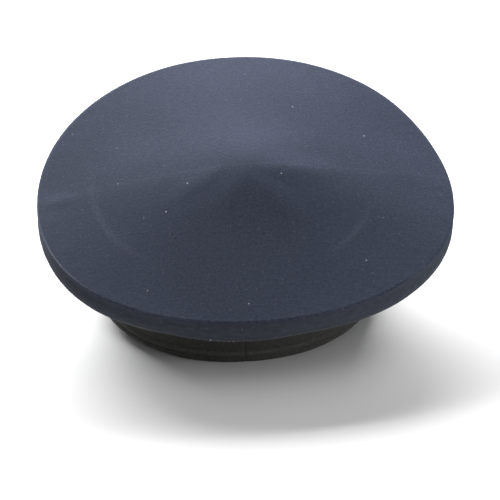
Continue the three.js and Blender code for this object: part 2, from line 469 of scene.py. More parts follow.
class Graph:
    """Short way to add and join shader nodes."""

    def __init__(self, name: str) -> None:
        """Starts a material with a Principled shader.

        Args:
            name: The material's name.
        """
        self.material = bpy.data.materials.new(name)
        self.material.use_nodes = True
        self.nodes = self.material.node_tree.nodes
        self.links = self.material.node_tree.links
        self.shader = self.nodes["Principled BSDF"]

    def add(self, kind: str, settings: dict | None = None, **inputs: object) -> bpy.types.Node:
        """Adds a node.

        Args:
            kind: Node type without its "ShaderNode" start.
            settings: Node properties to set.
            **inputs: Values or sockets for inputs, by name with _ for spaces, or by in0, in1 and so on.

        Returns:
            The node.
        """
        node = self.nodes.new("ShaderNode" + kind)
        for key, value in (settings or {}).items():
            setattr(node, key, value)
        for key, value in inputs.items():
            place = int(key[2:]) if key[:2] == "in" and key[2:].isdigit() else key.replace("_", " ")
            self.set(node.inputs[place], value)
        return node

    def set(self, socket: Socket, value: object) -> None:
        """Links a socket to another, or gives it a value.

        Args:
            socket: Input to set.
            value: Socket to link it to, or its value.
        """
        if isinstance(value, Socket):
            self.links.new(value, socket)
        else:
            socket.default_value = value

    def math(self, operation: str, *values: object) -> Socket:
        """Result of a Math node."""
        inputs = {f"in{i}": value for i, value in enumerate(values)}
        return self.add("Math", {"operation": operation}, **inputs).outputs[0]

    def total(self, *terms: tuple[object, float]) -> Socket:
        """Weighted sum of sockets.

        Args:
            *terms: Pairs of socket and weight.

        Returns:
            The sum.
        """
        sums = [self.math("MULTIPLY", socket, weight) for socket, weight in terms]
        result = sums[0]
        for term in sums[1:]:
            result = self.math("ADD", result, term)
        return result

    def ramp(self, value: object, low: float, high: float, to_low: float, to_high: float) -> Socket:
        """Value moved smoothly from one range to another."""
        ranges = {"in1": low, "in2": high, "in3": to_low, "in4": to_high}
        return self.add("MapRange", {"interpolation_type": "SMOOTHSTEP"}, in0=value, **ranges).outputs[0]

    def mix(self, share: object, first: object, second: object) -> Socket:
        """Mix of two colours.

        Args:
            share: Share of the second colour.
            first: First colour.
            second: Second colour.

        Returns:
            The mixed colour.
        """
        node = self.add("Mix", {"data_type": "RGBA"})
        for place, value in ((0, share), (6, first), (7, second)):
            self.set(node.inputs[place], value)
        return node.outputs[2]

    def noise(self, place: object, scale: float, detail: float = 2.0) -> Socket:
        """Noise from 0 to 1 at a scale per metre."""
        return self.add("TexNoise", None, Vector=place, Scale=scale, Detail=detail).outputs[0]

    def twill(self, place: object, per_metre: float, unevenness: float) -> Socket:
        """Slanting lines across the flat cloth map, from 0 to 1.

        Args:
            place: Place on the cloth map.
            per_metre: Lines in a metre.
            unevenness: How uneven the lines are.

        Returns:
            The lines.
        """
        # At a scale of 1, a metre across the slant turns the wave by 10 radians along each axis.
        radians_per_metre = 10.0 * math.sqrt(2.0)
        scale = per_metre * FULL_TURN / radians_per_metre
        settings = {"wave_type": "BANDS", "bands_direction": "DIAGONAL"}
        return self.add("TexWave", settings, Vector=place, Scale=scale, Distortion=unevenness).outputs[1]

    def bumped(self, height: object, distance: float, strength: float, below: object = None) -> Socket:
        """Normal with a height added to it.

        Args:
            height: Height from 0 to 1.
            distance: Real height in metres.
            strength: Share of the effect.
            below: Normal to add to, if any.

        Returns:
            The normal.
        """
        node = self.add("Bump", None, Height=height, Distance=distance, Strength=strength)
        if below is not None:
            self.set(node.inputs["Normal"], below)
        return node.outputs[0]

    def finish(self, **inputs: object) -> bpy.types.Material:
        """Sets the shader's inputs.

        Args:
            **inputs: Values or sockets by name, with _ for spaces.

        Returns:
            The finished material.
        """
        for key, value in inputs.items():
            self.set(self.shader.inputs[key.replace("_", " ")], value)
        return self.material


@dataclass(frozen=True)
class Lint:
    """Specks of lint scattered over a cloth.

    Each cell of an even scatter holds at most one speck, where its draw from 0 to 1 is high enough. The size
    is a share of a cell, and the core of a speck is the share of its size that has the whole strength.
    """

    cells_per_metre: float
    least_draw: float
    size: float
    strength: float
    core: float = 0.4

    def share(self, g: Graph, cloth: Socket) -> Socket:
        """Where the specks lie.

        Args:
            g: Graph of the material.
            cloth: Place on the cloth map.

        Returns:
            Up to the strength on a speck and 0 elsewhere.
        """
        flat = {"voronoi_dimensions": "2D", "feature": "F1"}
        cells = g.add("TexVoronoi", flat, Vector=cloth, Scale=self.cells_per_metre)
        drawn = g.add("SeparateColor", None, in0=cells.outputs["Color"]).outputs[0]
        spot = g.ramp(cells.outputs["Distance"], self.core * self.size, self.size, self.strength, 0.0)
        return g.math("MULTIPLY", g.ramp(drawn, self.least_draw, 1.0, 0.0, 1.0), spot)


@dataclass(frozen=True)
class WovenCloth:
    """Fine woven wool: twill lines, grain, mottling, abrasion and painted highlights, lint and a soft sheen.

    Counts are per metre of cloth, and heights in metres. The tone mixes the weave, the mottling and broad
    clouds by their shares, and its contrast is the range that runs from the dark colour to the light one.
    """

    name: str
    dark: Colour
    light: Colour
    wear_and_highlight_colour: Colour
    sheen: float
    sheen_colour: Colour
    sheen_roughness: float = 0.5
    twill_per_metre: float = 1400.0
    twill_unevenness: float = 2.5
    twill_share: float = 0.3
    grain_per_metre: float = 640.0
    grain_stretch: float = 1.0
    mottle_per_metre: float = 420.0
    clouds_per_metre: float = 14.0
    tone_shares: tuple[float, float, float] = (0.5, 0.35, 0.15)
    contrast: tuple[float, float] = (0.33, 0.67)
    noise_range: tuple[float, float] = (0.3, 0.7)
    least_wear_and_highlight: float = 0.5
    roughness: tuple[float, float] = (0.8, 0.95)
    weave_height: float = 0.00025
    weave_strength: float = 0.6
    mottle_height: float = 0.00018
    mottle_strength: float = 0.5
    lint_colour: Colour = (0.55, 0.56, 0.58, 1.0)
    lint: tuple[Lint, Lint] | None = (Lint(70.0, 0.9, 0.042, 1.0), Lint(190.0, 0.7, 0.11, 0.11))

    def material(self) -> bpy.types.Material:
        """Builds the node material.

        Returns:
            The material.
        """
        g = Graph(self.name)
        cloth = g.add("UVMap", {"uv_map": CLOTH_MAP}).outputs[0]
        solid = g.add("TexCoord").outputs["Object"]
        stretch = (1.0 / self.grain_stretch, 1.0, 1.0)
        drawn_out = g.add("Mapping", None, Vector=cloth, Scale=stretch).outputs[0]
        twill = g.twill(cloth, self.twill_per_metre, self.twill_unevenness)
        grain = g.noise(drawn_out, self.grain_per_metre)
        mottle = g.noise(drawn_out, self.mottle_per_metre, detail=3.0)
        clouds = g.noise(solid, self.clouds_per_metre, detail=3.0)
        weave = g.total((twill, self.twill_share), (grain, 1.0 - self.twill_share))
        tone = g.total(*zip((weave, mottle, clouds), self.tone_shares))
        colour = g.mix(g.ramp(tone, *self.contrast, 0.0, 1.0), self.dark, self.light)
        # Paler colour on abraded places and on painted highlights, broken up by the grain.
        wear_and_highlight_here = g.add("Attribute", {"attribute_name": WEAR_AND_HIGHLIGHT}).outputs["Fac"]
        wear_and_highlight_here = g.math("MULTIPLY", wear_and_highlight_here, g.ramp(grain, *self.noise_range, self.least_wear_and_highlight, 1.0))
        colour = g.mix(wear_and_highlight_here, colour, self.wear_and_highlight_colour)
        if self.lint is not None:
            specks = g.math("MAXIMUM", *(layer.share(g, cloth) for layer in self.lint))
            colour = g.mix(specks, colour, self.lint_colour)
        normal = g.bumped(weave, self.weave_height, self.weave_strength)
        normal = g.bumped(mottle, self.mottle_height, self.mottle_strength, normal)
        return g.finish(
            Base_Color=colour,
            Roughness=g.ramp(mottle, *self.noise_range, *self.roughness),
            Normal=normal,
            Specular_IOR_Level=0.05,
            Specular_Tint=self.sheen_colour,
            Sheen_Weight=self.sheen,
            Sheen_Roughness=self.sheen_roughness,
            Sheen_Tint=self.sheen_colour,
        )


@dataclass(frozen=True)
class PolishedLeather:
    """Black polished leather with a fine grain and soft scuffs.

    Counts are per metre, and the height in metres. The scuffs show, and roughen the polish, each over a range
    of their noise.
    """

    name: str
    colour: Colour
    scuffed: Colour
    grain_per_metre: float = 900.0
    grain_height: float = 0.00012
    grain_strength: float = 0.35
    grain_roughness: float = 0.08
    scuffs_per_metre: float = 55.0
    scuffs_show: tuple[float, float] = (0.52, 0.75)
    scuffs_roughen: tuple[float, float] = (0.35, 0.75)
    most_scuffed: float = 0.6
    roughness: tuple[float, float] = (0.22, 0.4)

    def material(self) -> bpy.types.Material:
        """Builds the node material.

        Returns:
            The material.
        """
        g = Graph(self.name)
        solid = g.add("TexCoord").outputs["Object"]
        cells = g.add("TexVoronoi", {"feature": "F1"}, Vector=solid, Scale=self.grain_per_metre)
        grain = cells.outputs["Distance"]
        scuff = g.noise(solid, self.scuffs_per_metre, detail=5.0)
        share = g.ramp(scuff, *self.scuffs_show, 0.0, self.most_scuffed)
        rough = g.ramp(scuff, *self.scuffs_roughen, *self.roughness)
        return g.finish(
            Base_Color=g.mix(share, self.colour, self.scuffed),
            Roughness=g.total((rough, 1.0), (grain, self.grain_roughness)),
            Normal=g.bumped(grain, self.grain_height, self.grain_strength),
            Coat_Weight=0.35,
            Coat_Roughness=0.12,
        )


@dataclass(frozen=True)
class SewingThread:
    """Twisted sewing thread, paler than the cloth."""

    name: str
    colour: Colour
    shade: Colour
    fibres_per_metre: float = 1500.0
    fibre_height: float = 0.0001
    fibre_strength: float = 0.5

    def material(self) -> bpy.types.Material:
        """Builds the node material.

        Returns:
            The material.
        """
        g = Graph(self.name)
        fibre = g.noise(g.add("TexCoord").outputs["Object"], self.fibres_per_metre)
        return g.finish(
            Base_Color=g.mix(fibre, self.shade, self.colour),
            Roughness=0.7,
            Normal=g.bumped(fibre, self.fibre_height, self.fibre_strength),
            Sheen_Weight=0.3,
        )


@dataclass(frozen=True)
class PaleFloor:
    """Plain pale studio floor."""

    name: str = "pale_floor"
    pale: Colour = (0.7, 0.7, 0.7, 1.0)
    shade: Colour = (0.68, 0.68, 0.68, 1.0)
    clouds_per_metre: float = 3.0

    def material(self) -> bpy.types.Material:
        """Builds the node material.

        Returns:
            The material.
        """
        g = Graph(self.name)
        faint = g.noise(g.add("TexCoord").outputs["Object"], self.clouds_per_metre)
        return g.finish(Base_Color=g.mix(faint, self.pale, self.shade), Roughness=0.9)


NAVY = WovenCloth(
    name="navy_wool",
    dark=(0.0215, 0.0246, 0.035, 1.0),
    light=(0.047, 0.054, 0.077, 1.0),
    wear_and_highlight_colour=(0.17, 0.18, 0.21, 1.0),
    sheen=0.12,
    sheen_colour=(0.38, 0.52, 1.0, 1.0),
)
# The strip's copy of the navy wool: paler and greyer, to paint the warm light reflected onto the strip.
RIM_NAVY_PAINTED_LIGHT = replace(
    NAVY,
    name="navy_wool_with_painted_rim_light",
    dark=(0.033, 0.0368, 0.0468, 1.0),
    light=(0.0499, 0.0556, 0.0709, 1.0),
    wear_and_highlight_colour=(0.15, 0.147, 0.142, 1.0),
    sheen=0.03,
    sheen_colour=(0.8, 0.85, 1.0, 1.0),
    grain_stretch=3.0,
)
BLACK = WovenCloth(
    name="black_band_cloth",
    dark=(0.029, 0.0285, 0.027, 1.0),
    light=(0.055, 0.054, 0.051, 1.0),
    wear_and_highlight_colour=(0.085, 0.084, 0.081, 1.0),
    sheen=0.12,
    sheen_colour=(0.7, 0.7, 0.7, 1.0),
    twill_per_metre=1900.0,
    lint=None,
)
LEATHER = PolishedLeather("black_polished_leather", (0.008, 0.008, 0.009, 1.0), (0.02, 0.02, 0.021, 1.0))
THREAD = SewingThread("pale_thread", (0.075, 0.073, 0.074, 1.0), (0.04, 0.04, 0.042, 1.0))


def dress(
    made: bpy.types.Object, material: bpy.types.Material, slot: Slot, node: str | None = None
) -> bpy.types.Object:
    """Gives a piece its material and body, and hides the CAD node that it stands for.

    Args:
        made: The piece.
        material: Its material.
        slot: Slot of the record that it takes its finish from; not used.
        node: CAD node that it replaces, if any.

    Returns:
        The piece.
    """
    made.data.materials.append(material)
    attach(made, BODY)
    if node is not None:
        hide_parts(node)
    return made


@dataclass(frozen=True)
class Fold:
    """A fold or dent of the top.

    Place of the middle, half length, half width and rise are in millimetres, and the turn of the length is
    from the wearer's left towards the back in degrees.
    """

    left: float
    back: float
    length: float
    width: float
    turn: float
    rise: float

    def height(self, x: np.ndarray, y: np.ndarray) -> np.ndarray:
        """Heights that the fold adds.

        Args:
            x: Places across.
            y: Places along.

        Returns:
            Heights in millimetres.
        """
        along, across = math.cos(math.radians(self.turn)), math.sin(math.radians(self.turn))
        run = ((x - self.left) * along + (y - self.back) * across) / self.length
        side = ((y - self.back) * along - (x - self.left) * across) / self.width
        return self.rise * bump(np.hypot(run, side))


@dataclass
class CrownTop:
    """The oval top: cloth stretched across the seam and pushed up into a low tent.

    A ring pressed into it from inside shows in two arcs, with a painted highlight along them, and its folded
    edge is abraded along the crisp part.
    """

    rest: RestPose
    sections: int = 480
    rings: int = 120
    underside_rings: int = 16
    underside_from: float = 11 / 12
    tip: tuple[float, float] = (-10.8, 0.5)
    tent_rise: float = 15.5
    tent_rounding: float = 0.21
    tent_hollow: float = 0.32
    fold_fade: int = 6
    folds: tuple[Fold, ...] = (
        Fold(-13.0, -112.0, 125.0, 78.0, -2.0, 0.95),
        Fold(37.0, 57.0, 117.0, 80.0, 119.0, 0.85),
        Fold(63.0, -8.0, 64.0, 30.0, 97.0, 0.48),
        Fold(74.0, 21.0, 53.0, 40.0, 30.0, -0.35),
        Fold(-43.0, -12.0, 126.0, 41.0, 106.0, -0.75),
        Fold(-41.0, 2.0, 30.0, 20.0, 0.0, 0.5),
        Fold(-106.0, -18.0, 34.0, 20.0, 95.0, 0.3),
        Fold(110.0, -1.0, 17.0, 10.0, -12.0, 0.45),
    )
    creases: tuple[Fold, ...] = (
        Fold(-28.0, 34.0, 33.0, 12.0, 125.0, 0.23),
        Fold(0.0, 23.0, 26.0, 9.0, 66.0, 0.21),
        Fold(11.0, 17.0, 24.0, 8.0, 66.0, -0.12),
        Fold(26.0, 15.0, 30.0, 11.0, 34.0, 0.18),
        Fold(-38.0, 4.0, 22.0, 9.0, -4.0, 0.12),
    )
    edge_fold: tuple[Row, ...] = (Row(-2.2, 1.7), Row(-0.9, 1.36), Row(-0.3, 0.92), Row(0.0, GAP / 2))
    edge_underside: tuple[Row, ...] = (Row(-1.8, GAP / 2), Row(-4.2, GAP / 2))
    edge_steps: int = 4
    edge_wear: float = 0.02
    edge_wear_patch: Patch = Patch(63.0, 28.0, 0.85)
    edge_wear_ripple: Ripple = Ripple(0.08, (5, 9, 14, 23), 8)
    ring_mark: Oval = Oval(174.0, 206.0, 2.2)
    ring_mark_forward: float = 10.0
    ring_mark_rise: float = 0.1
    ring_mark_width: float = 3.0
    # Painted highlight along the ring's two arcs.
    ring_mark_wear: float = 0.13
    ring_mark_arcs: tuple[Patch, ...] = (Patch(70.0, 40.0), Patch(-47.0, 26.0))
    puckers: Ripple = Ripple(0.03, (31, 47, 58, 83), 4)
    pucker_reach: float = 0.1

    def face(self, angle: np.ndarray, part: np.ndarray) -> np.ndarray:
        """Points of the upper face.

        Args:
            angle: Directions from the tip.
            part: Parts of the way from the tip to the edge fold.

        Returns:
            Points of the cap, in millimetres.
        """
        inner = self.edge_fold[0]
        edge = SEAM.beside(angle, inner.out, inner.up)
        x = self.tip[0] + (edge[..., 0] - self.tip[0]) * part
        y = self.tip[1] + (edge[..., 1] - self.tip[1]) * part
        rounding = self.tent_rounding
        from_tip = (np.hypot(part, rounding) - rounding) / (math.hypot(1.0, rounding) - rounding)
        relief = sum(fold.height(x, y) for fold in self.folds + self.creases)
        relief = relief + self.ring_mark_rise * self.ring_share(x, y, angle)
        near_edge = np.clip((part - 1.0 + self.pucker_reach) / self.pucker_reach, 0.0, 1.0)
        puckers = bump(2.0 * near_edge - 1.0) * self.puckers.at(angle)
        to_edge = 1.0 - from_tip
        tent = self.tent_rise * (to_edge + self.tent_hollow * to_edge**2) / (1.0 + self.tent_hollow)
        z = inner.up + SEAM.taut(angle, part) + tent
        return np.stack([x, y, z + relief * (1.0 - part**self.fold_fade) + puckers], -1)

    def ring_share(self, x: np.ndarray, y: np.ndarray, angle: np.ndarray) -> np.ndarray:
        """How strongly the pressed ring shows at plan places.

        Args:
            x: Places across.
            y: Places along.
            angle: Directions from the tip.

        Returns:
            Up to 1 on the ring's two arcs.
        """
        off_ring = (self.ring_mark.share(x, y + self.ring_mark_forward) - 1.0) * self.ring_mark.width / 2
        arcs = sum(arc.at(angle) for arc in self.ring_mark_arcs)
        return bump(off_ring / self.ring_mark_width) * arcs

    def build(self) -> bpy.types.Object:
        """Makes the top and dresses it.

        Returns:
            The piece.
        """
        angle = around(self.sections)
        upper = self.face(angle, (np.arange(self.rings) / self.rings)[None, :])
        fold = SEAM.beside(angle, *columns(smooth_rows(self.edge_fold, self.edge_steps)))
        below_fold = SEAM.beside(angle, *columns(self.edge_underside))
        inward = np.linspace(self.underside_from, 0.0, self.underside_rings)[None, :]
        under = self.face(angle, inward) - np.array([0.0, 0.0, CLOTH])
        points = np.concatenate([upper, fold, below_fold, under], 1)
        wear_and_highlight = np.zeros(points.shape[:2])
        # Painted highlight along the ring's arcs; the crisp edge's abrasion follows.
        wear_and_highlight[:, : self.rings] = self.ring_mark_wear * self.ring_share(upper[..., 0], upper[..., 1], angle)
        edge_wear = self.edge_wear + self.edge_wear_patch.at(angle) + self.edge_wear_ripple.at(angle)
        crisp_from = self.rings + self.edge_steps
        crisp_to = crisp_from + self.edge_steps
        wear_and_highlight[:, crisp_from : crisp_to + 1] = np.clip(edge_wear, 0.0, 1.0)
        plan = np.concatenate([points, points[:1]], 0)[..., :2] * MM
        mesh = SweptMesh("crown_top_cloth", self.rest.place(points), plan, Ends.POLES, wear_and_highlight)
        made = dress(mesh.build(), NAVY.material(), Slot.CROWN, "crown_top")
        return made


@dataclass
class CrownRim:
    """The upright strip round the crown's rim.

    The leans are patches where its face lies further in, by so many millimetres once it is well below the
    seam. Its lower edge has an uneven painted highlight.
    """

    rest: RestPose
    sections: int = 600
    face_rows: tuple[Row, ...] = (
        Row(-0.9, 0.1),
        Row(-1.5, -1.3),
        Row(-1.2, -2.9),
        Row(-0.3, -4.5),
        Row(0.4, -6.3),
        Row(0.1, -8.5),
        Row(-1.3, -10.2),
    )
    row_steps: int = 6
    swell: Ripple = Ripple(0.12, (7, 13, 22, 37, 64), 11)
    swell_at: float = -6.0
    swell_reach: float = 4.5
    # Painted highlight along the strip's lower edge, uneven round the cap.
    lower_edge_highlight: float = 0.2
    lower_edge_highlight_ripple: Ripple = Ripple(0.12, (6, 11, 19, 31), 17)
    lower_edge_highlight_limits: tuple[float, float] = (0.03, 0.5)
    lower_edge_highlight_patch: Patch = Patch(31.5, 7.0, 0.4)
    lower_edge_highlight_at: float = -9.0
    lower_edge_highlight_reach: float = 0.9
    taller_at_sides: float = 0.3
    taller_at_ends: Patch = Patch(6.0, 19.0, 0.2)
    leans: tuple[Patch, ...] = (Patch(-64.0, 27.0, -1.5), Patch(68.0, 24.0, -0.6))
    lean_over: float = 5.0

    def outer_rows(self) -> tuple[Row, ...]:
        """Fine rows of the outer face."""
        return smooth_rows(self.face_rows, self.row_steps)

    def on_face(self, angle: np.ndarray, up: np.ndarray | float, off: np.ndarray | float) -> np.ndarray:
        """Points just off the strip's outer face.

        Args:
            angle: Directions round the cap.
            up: Heights on the strip before it hangs.
            off: Distances out from its face.

        Returns:
            Points of the cap, in millimetres.
        """
        rows = self.outer_rows()
        out = np.interp(-np.asarray(up), [-row.up for row in rows], [row.out for row in rows])
        return self.beside(angle, out + off, up)

    def beside(self, angle: np.ndarray, out: np.ndarray | float, up: np.ndarray | float) -> np.ndarray:
        """Points of the hanging strip, which is taller in places and leans inwards in others.

        Args:
            angle: Directions round the cap.
            out: Distances out from the seam before it leans.
            up: Heights before it hangs.

        Returns:
            Points of the cap, in millimetres.
        """
        taller = self.taller_at_sides * np.sin(angle) ** 2 + self.taller_at_ends.at(angle)
        lean = sum(patch.at(angle) for patch in self.leans)
        below_seam = np.clip(-np.asarray(up) / self.lean_over, 0.0, 1.0)
        return SEAM.beside(angle, out + lean * below_seam, up * (1.0 + taller))

    def build(self) -> bpy.types.Object:
        """Makes the strip and dresses it.

        Returns:
            The piece.
        """
        angle = around(self.sections)
        inner = tuple(Row(row.out - CLOTH, row.up) for row in reversed(self.face_rows))
        out, up = columns(self.outer_rows() + inner)
        uneven = self.swell.at(angle) * bump((up - self.swell_at) / self.swell_reach)
        points = self.rest.place(self.beside(angle, out + uneven, up))
        # Painted highlight along the lower edge, where the turned edge catches the light.
        lower_edge_highlight = np.clip(self.lower_edge_highlight + self.lower_edge_highlight_ripple.at(angle), *self.lower_edge_highlight_limits)
        lower_edge_highlight = lower_edge_highlight + self.lower_edge_highlight_patch.at(angle)
        wear_and_highlight = lower_edge_highlight * bump((up - self.lower_edge_highlight_at) / self.lower_edge_highlight_reach)
        mesh = SweptMesh("crown_rim_strip", points, flat_map(points, True, True), Ends.LOOP, wear_and_highlight)
        # Its cloth is the paler, greyer copy of the navy wool that paints the light reflected onto it.
        made = dress(mesh.build(), RIM_NAVY_PAINTED_LIGHT.material(), Slot.CROWN, "crown_rim")
        return made


@dataclass
class CrownUnder:
    """The crown's underside, from the strip's lower edge to a short neck on the band."""

    rest: RestPose
    rim: CrownRim
    sections: int = 360
    steps: int = 20
    above_strip_edge: float = 0.5
    neck: float = 3.0
    neck_shoulder: float = 1.6
    belly: float = 1.5
    drag_lines: Ripple = Ripple(0.35, (17, 29, 41), 6)

    def build(self) -> bpy.types.Object:
        """Makes the underside and dresses it.

        Returns:
            The piece.
        """
        angle = around(self.sections)
        edge = self.rim.face_rows[-1]
        start = self.rim.beside(angle, edge.out - CLOTH - GAP, edge.up)
        start[..., 2] += self.above_strip_edge
        foot = BAND_HEIGHT + GAP
        top = foot + self.neck
        end = BAND_OVAL.beside(angle, 0.0, top)
        part = np.linspace(0.0, 1.0, self.steps)[None, :]
        lower = start + (end - start) * part[..., None]
        sag = self.belly + self.drag_lines.at(angle)
        lower[..., 2] -= sag * np.sin(math.pi * part)
        run = np.hypot((end - start)[..., 0], (end - start)[..., 1])
        steep = np.hypot(run, (end - start)[..., 2]) / run
        upper = lower[:, -2::-1].copy()
        upper[..., 2] += CLOTH * steep
        neck = [BAND_OVAL.beside(angle, 0.0, foot), BAND_OVAL.beside(angle, -CLOTH, foot)]
        neck.append(BAND_OVAL.beside(angle, -CLOTH, top + self.neck_shoulder))
        points = self.rest.place(np.concatenate([lower, *neck, upper], 1))
        mesh = SweptMesh("crown_underside", points, flat_map(points, True, True), Ends.LOOP)
        made = dress(mesh.build(), NAVY.material(), Slot.CROWN, "crown_under")
        return made


@dataclass
class Band:
    """The black cloth ring round the head, with a welt along its lower edge and a seam at the back."""

    rest: RestPose
    sections: int = 1200
    wall: float = 2.5
    top_rows: tuple[Row, ...] = (Row(-0.5, BAND_HEIGHT), Row(0.0, BAND_SHOULDER), Row(0.0, 20.0))
    welt_rows: tuple[Row, ...] = (
        Row(0.0, 12.0),
        Row(0.0, 8.6),
        Row(0.5, 7.6),
        Row(0.7, 6.2),
        Row(0.5, 4.8),
        Row(0.0, 4.1),
        Row(0.45, 3.4),
        Row(0.6, 2.2),
        Row(0.1, 0.8),
        Row(-0.6, 0.0),
    )
    row_steps: int = 4
    inner_rounding: float = 0.5
    foot_rounding: float = 0.8
    seam_across: float = 1.7
    seam_width: float = 0.9
    seam_depth: float = 0.5
    # Painted highlight along the welt, strongest at the back and fading towards the sides.
    welt_highlight: Patch = Patch(5.0, 48.0, 0.7)
    welt_highlight_at: float = 6.4
    welt_highlight_reach: float = 2.0

    def build(self) -> bpy.types.Object:
        """Makes the band and dresses it.

        Returns:
            The piece.
        """
        angle = around(self.sections)
        outer = self.top_rows + smooth_rows(self.welt_rows, self.row_steps)
        inner = (
            Row(self.inner_rounding - self.wall, 0.0),
            Row(-self.wall, self.foot_rounding),
            Row(-self.wall, BAND_SHOULDER),
            Row(self.inner_rounding - self.wall, BAND_HEIGHT),
        )
        out, up = columns(outer + inner)
        across, along = BAND_OVAL.plan(angle)
        seam = np.where(along > 0, bump((across - self.seam_across) / self.seam_width), 0.0)
        outside = np.where(np.arange(out.shape[1]) < len(outer), 1.0, 0.0)
        points = self.rest.place(BAND_OVAL.beside(angle, out - self.seam_depth * seam * outside, up))
        # Painted highlight on the welt, left out at the seam.
        on_welt = bump((up - self.welt_highlight_at) / self.welt_highlight_reach)
        wear_and_highlight = self.welt_highlight.at(angle) * on_welt * outside * (1.0 - seam)
        mesh = SweptMesh("head_band", points, flat_map(points, True, True), Ends.LOOP, wear_and_highlight)
        made = dress(mesh.build(), BLACK.material(), Slot.BAND, "band")
        return made


@dataclass
class Stitching:
    """Small stitches of pale thread: along the rim strip's lower edge, and upright ones at its back.

    Each stitch arches out of the cloth and sinks into it at its ends, by so many half thicknesses of its
    thread.
    """

    rest: RestPose
    rim: CrownRim
    edge_stitches: int = 300
    stitch_share: float = 0.72
    edge_above: float = 1.1
    thread: float = 0.1
    tack_thread: float = 0.28
    tack: Patch = Patch(7.5, 4.0)
    arch: float = 1.5
    sunk: float = 0.5
    upright_stitches: int = 11
    upright_from: float = 2.4
    upright_to: float = 8.4
    upright_height: float = 2.2
    upright_uneven: float = 0.4
    upright_lean: float = 0.003
    upright_seed: int = 21
    sides: int = 6
    rings: int = 9
    end_bluntness: int = 6
    end_thickness: float = 0.04

    def bars(
        self, middle: np.ndarray, away: np.ndarray, radius: np.ndarray
    ) -> tuple[np.ndarray, list[list[int]]]:
        """Rounded little bars along short lines.

        Args:
            middle: Points along each bar's middle line.
            away: Direction of each bar away from the cloth.
            radius: Half thickness of each bar's thread.

        Returns:
            Vertices and faces.
        """
        part = np.linspace(0.0, 1.0, self.rings)
        along = middle[:, -1] - middle[:, 0]
        along = along / np.linalg.norm(along, axis=1, keepdims=True)
        second = np.cross(along, away)
        turn = np.arange(self.sides) * FULL_TURN / self.sides
        rounded = 1.0 - (2.0 * part - 1.0) ** self.end_bluntness
        thick = radius[:, None] * np.sqrt(np.clip(rounded, self.end_thickness, 1.0))
        ring = np.cos(turn)[:, None] * away[:, None] + np.sin(turn)[:, None] * second[:, None]
        points = middle[:, :, None] + thick[..., None, None] * ring[:, None]
        faces = []
        for bar in range(len(middle)):
            base = bar * self.rings * self.sides
            for row in range(self.rings - 1):
                for side in range(self.sides):
                    here = base + row * self.sides + side
                    beside = base + row * self.sides + (side + 1) % self.sides
                    faces.append([here, beside, beside + self.sides, here + self.sides])
            faces.append([base + side for side in reversed(range(self.sides))])
            faces.append([base + (self.rings - 1) * self.sides + side for side in range(self.sides)])
        return points.reshape(-1, 3), faces

    def build(self) -> bpy.types.Object:
        """Makes all the stitches as one piece and dresses it.

        Returns:
            The piece.
        """
        low = self.rim.face_rows[-1].up
        part = np.linspace(0.0, 1.0, self.rings)[None, :]
        arch = self.arch * np.sin(math.pi * part) - self.sunk
        draw = np.random.RandomState(self.upright_seed)
        start = around(self.edge_stitches)
        edge_thread = self.thread + (self.tack_thread - self.thread) * self.tack.at(start)
        edge_turn = start + FULL_TURN / self.edge_stitches * self.stitch_share * part
        edge_up = np.broadcast_to(low + self.edge_above, edge_turn.shape)
        foot = np.radians(np.linspace(self.upright_from, self.upright_to, self.upright_stitches))[:, None]
        lean, tall = draw.uniform(-1.0, 1.0, (2, len(foot), 1))
        upright_turn = foot + self.upright_lean * lean * part
        upright_up = low + self.edge_above + (self.upright_height + self.upright_uneven * tall) * part
        turn = np.concatenate([edge_turn, upright_turn])
        thread = np.concatenate([edge_thread, np.full_like(foot, self.thread)])
        middle = self.rim.on_face(turn, np.concatenate([edge_up, upright_up]), thread * arch)
        away_x, away_y = SEAM.oval.outward(turn.mean(1))
        away = np.stack([away_x, away_y, np.zeros_like(away_x)], -1)
        points, faces = self.bars(middle, away, thread[:, 0])
        mesh = bpy.data.meshes.new("rim_stitches")
        mesh.from_pydata(self.rest.place(points).tolist(), [], faces)
        mesh.polygons.foreach_set("use_smooth", np.ones(len(mesh.polygons), bool))
        return dress(linked("rim_stitches", mesh), THREAD.material(), Slot.CROWN)


